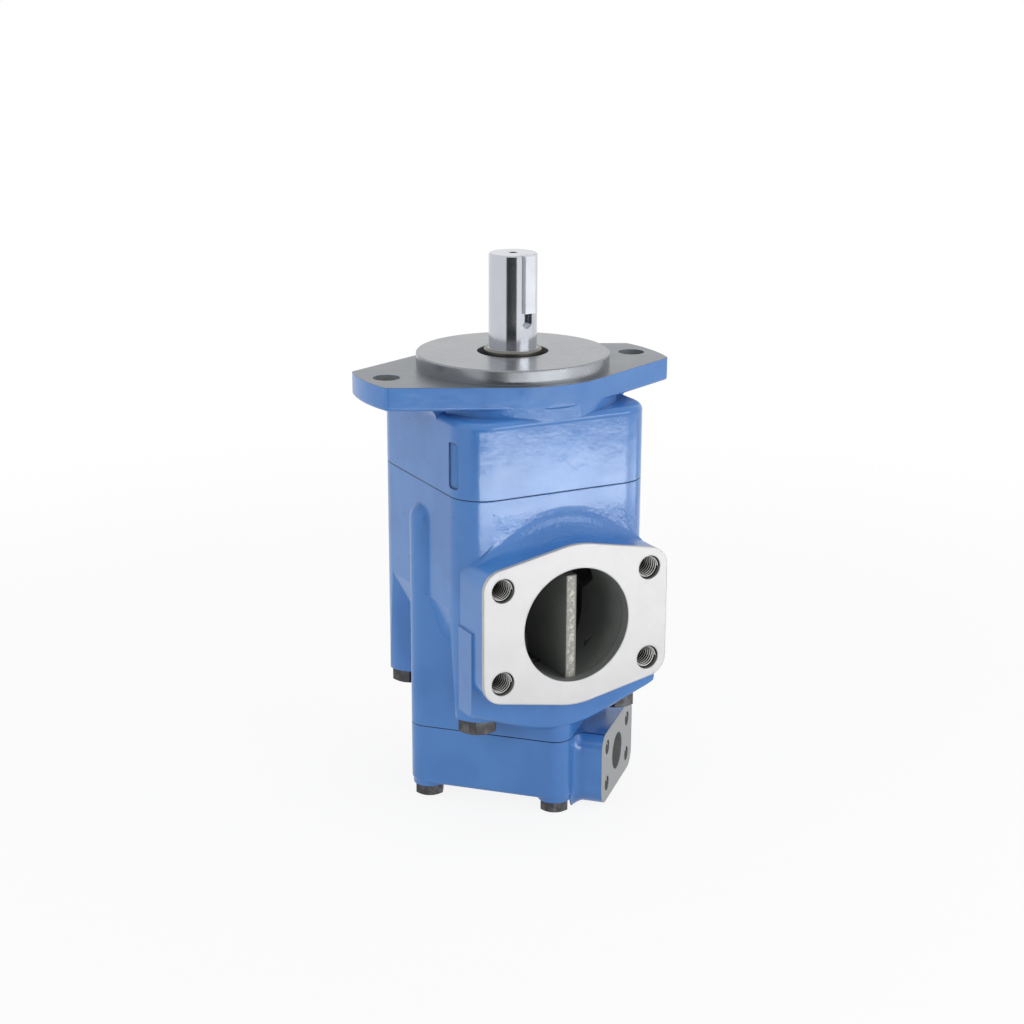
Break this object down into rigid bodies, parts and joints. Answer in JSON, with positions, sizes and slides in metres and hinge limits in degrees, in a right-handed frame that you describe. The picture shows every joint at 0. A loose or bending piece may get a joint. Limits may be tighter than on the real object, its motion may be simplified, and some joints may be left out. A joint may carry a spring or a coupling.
{
  "type": "hydraulic vane pump",
  "caption": "Double vane pump with a two-bolt mounting flange, keyed shaft, large suction pad and two outlet pads on three bolted castings.",
  "frame": {"origin": "on the shaft axis, in the plane of the flange's mounting face", "axes": "+Z along the shaft, out of the pump; the suction port faces -Y; the flange ears point along X"},
  "size_m": [0.213, 0.1667, 0.365],
  "materials": {
    "casting_paint": "glossy enamel on cast iron, bare on the machined faces",
    "black_bolts": "black oxide",
    "seal_rubber": "matt",
    "spring_steel": "dark spring steel",
    "bearing_steel": "polished",
    "bronze": "machined",
    "ground_steel": "ground and polished",
    "key_steel": "bright drawn",
    "machined_iron": "machined",
    "hardened_steel": "ground"
  },
  "bodies": {
    "housing": {"front_body": "casting_paint", "inlet_body": "casting_paint", "rear_cover": "casting_paint", "body_bolts": "black_bolts", "cover_bolts": "black_bolts", "shaft_seal": "seal_rubber", "seal_spring": "spring_steel", "bearing_outer_race": "bearing_steel", "bearing_retaining_ring": "spring_steel", "body_seal": "seal_rubber", "cover_seal": "seal_rubber", "rear_bush": "bronze", "front_outlet_support_plate": "machined_iron", "front_outer_side_plate": "bronze", "front_cam_ring": "hardened_steel", "front_inner_side_plate": "bronze", "front_inlet_support_plate": "machined_iron", "front_plate_seals": "seal_rubber", "front_cartridge_screws": "black_bolts", "front_dowel_pins": "hardened_steel", "rear_outlet_support_plate": "machined_iron", "rear_outer_side_plate": "bronze", "rear_cam_ring": "hardened_steel", "rear_inner_side_plate": "bronze", "rear_inlet_support_plate": "machined_iron", "rear_plate_seals": "seal_rubber", "rear_cartridge_screws": "black_bolts", "rear_dowel_pins": "hardened_steel"},
    "shaft": {"drive_shaft": "ground_steel", "shaft_key": "key_steel", "bearing_inner_race": "bearing_steel", "shaft_retaining_ring": "spring_steel", "front_rotor": "hardened_steel", "rear_rotor": "hardened_steel", "front_vane_inserts": "hardened_steel", "rear_vane_inserts": "hardened_steel"},
    "ball_set": {"bearing_balls": "bearing_steel", "bearing_cage": "bronze"},
    "front_vane_1": {"front_vane_1": "hardened_steel"},
    "front_vane_2": {"front_vane_2": "hardened_steel"},
    "front_vane_3": {"front_vane_3": "hardened_steel"},
    "front_vane_4": {"front_vane_4": "hardened_steel"},
    "front_vane_5": {"front_vane_5": "hardened_steel"},
    "front_vane_6": {"front_vane_6": "hardened_steel"},
    "front_vane_7": {"front_vane_7": "hardened_steel"},
    "front_vane_8": {"front_vane_8": "hardened_steel"},
    "front_vane_9": {"front_vane_9": "hardened_steel"},
    "front_vane_10": {"front_vane_10": "hardened_steel"},
    "rear_vane_1": {"rear_vane_1": "hardened_steel"},
    "rear_vane_2": {"rear_vane_2": "hardened_steel"},
    "rear_vane_3": {"rear_vane_3": "hardened_steel"},
    "rear_vane_4": {"rear_vane_4": "hardened_steel"},
    "rear_vane_5": {"rear_vane_5": "hardened_steel"},
    "rear_vane_6": {"rear_vane_6": "hardened_steel"},
    "rear_vane_7": {"rear_vane_7": "hardened_steel"},
    "rear_vane_8": {"rear_vane_8": "hardened_steel"},
    "rear_vane_9": {"rear_vane_9": "hardened_steel"},
    "rear_vane_10": {"rear_vane_10": "hardened_steel"}
  },
  "joints": [
    {"name": "shaft_spin", "type": "hinge", "parent": "housing", "child": "shaft", "pos_m": [0, 0, 0], "axis": [0, 0, 1], "continuous": true},
    {"name": "ball_set_spin", "type": "hinge", "parent": "housing", "child": "ball_set", "pos_m": [0, 0, -0.017], "axis": [0, 0, 1], "continuous": true},
    {"name": "front_vane_1_slide", "type": "slide", "parent": "shaft", "child": "front_vane_1", "axis": [0.9877, 0.1564, 0], "range_m": [0, 0.00021]},
    {"name": "front_vane_2_slide", "type": "slide", "parent": "shaft", "child": "front_vane_2", "axis": [0.7071, 0.7071, 0], "range_m": [0, 0.00236]},
    {"name": "front_vane_3_slide", "type": "slide", "parent": "shaft", "child": "front_vane_3", "axis": [0.1564, 0.9877, 0], "range_m": [0, 0.00451]},
    {"name": "front_vane_4_slide", "type": "slide", "parent": "shaft", "child": "front_vane_4", "axis": [-0.454, 0.891, 0], "range_m": [0, 0.00422]},
    {"name": "front_vane_5_slide", "type": "slide", "parent": "shaft", "child": "front_vane_5", "axis": [-0.891, 0.454, 0], "range_m": [0, 0.000498]},
    {"name": "front_vane_6_slide", "type": "slide", "parent": "shaft", "child": "front_vane_6", "axis": [-0.9877, -0.1564, 0], "range_m": [0, 0.00021]},
    {"name": "front_vane_7_slide", "type": "slide", "parent": "shaft", "child": "front_vane_7", "axis": [-0.7071, -0.7071, 0], "range_m": [0, 0.00236]},
    {"name": "front_vane_8_slide", "type": "slide", "parent": "shaft", "child": "front_vane_8", "axis": [-0.1564, -0.9877, 0], "range_m": [0, 0.00451]},
    {"name": "front_vane_9_slide", "type": "slide", "parent": "shaft", "child": "front_vane_9", "axis": [0.454, -0.891, 0], "range_m": [0, 0.00422]},
    {"name": "front_vane_10_slide", "type": "slide", "parent": "shaft", "child": "front_vane_10", "axis": [0.891, -0.454, 0], "range_m": [0, 0.000498]},
    {"name": "rear_vane_1_slide", "type": "slide", "parent": "shaft", "child": "rear_vane_1", "axis": [0.9877, 0.1564, 0], "range_m": [0, 0.00021]},
    {"name": "rear_vane_2_slide", "type": "slide", "parent": "shaft", "child": "rear_vane_2", "axis": [0.7071, 0.7071, 0], "range_m": [0, 0.00211]},
    {"name": "rear_vane_3_slide", "type": "slide", "parent": "shaft", "child": "rear_vane_3", "axis": [0.1564, 0.9877, 0], "range_m": [0, 0.00401]},
    {"name": "rear_vane_4_slide", "type": "slide", "parent": "shaft", "child": "rear_vane_4", "axis": [-0.454, 0.891, 0], "range_m": [0, 0.00376]},
    {"name": "rear_vane_5_slide", "type": "slide", "parent": "shaft", "child": "rear_vane_5", "axis": [-0.891, 0.454, 0], "range_m": [0, 0.000465]},
    {"name": "rear_vane_6_slide", "type": "slide", "parent": "shaft", "child": "rear_vane_6", "axis": [-0.9877, -0.1564, 0], "range_m": [0, 0.00021]},
    {"name": "rear_vane_7_slide", "type": "slide", "parent": "shaft", "child": "rear_vane_7", "axis": [-0.7071, -0.7071, 0], "range_m": [0, 0.00211]},
    {"name": "rear_vane_8_slide", "type": "slide", "parent": "shaft", "child": "rear_vane_8", "axis": [-0.1564, -0.9877, 0], "range_m": [0, 0.00401]},
    {"name": "rear_vane_9_slide", "type": "slide", "parent": "shaft", "child": "rear_vane_9", "axis": [0.454, -0.891, 0], "range_m": [0, 0.00376]},
    {"name": "rear_vane_10_slide", "type": "slide", "parent": "shaft", "child": "rear_vane_10", "axis": [0.891, -0.454, 0], "range_m": [0, 0.000465]}
  ],
  "couplings": [
    {"joint": "ball_set_spin", "follows": "shaft_spin", "ratio": 0.4}
  ]
}
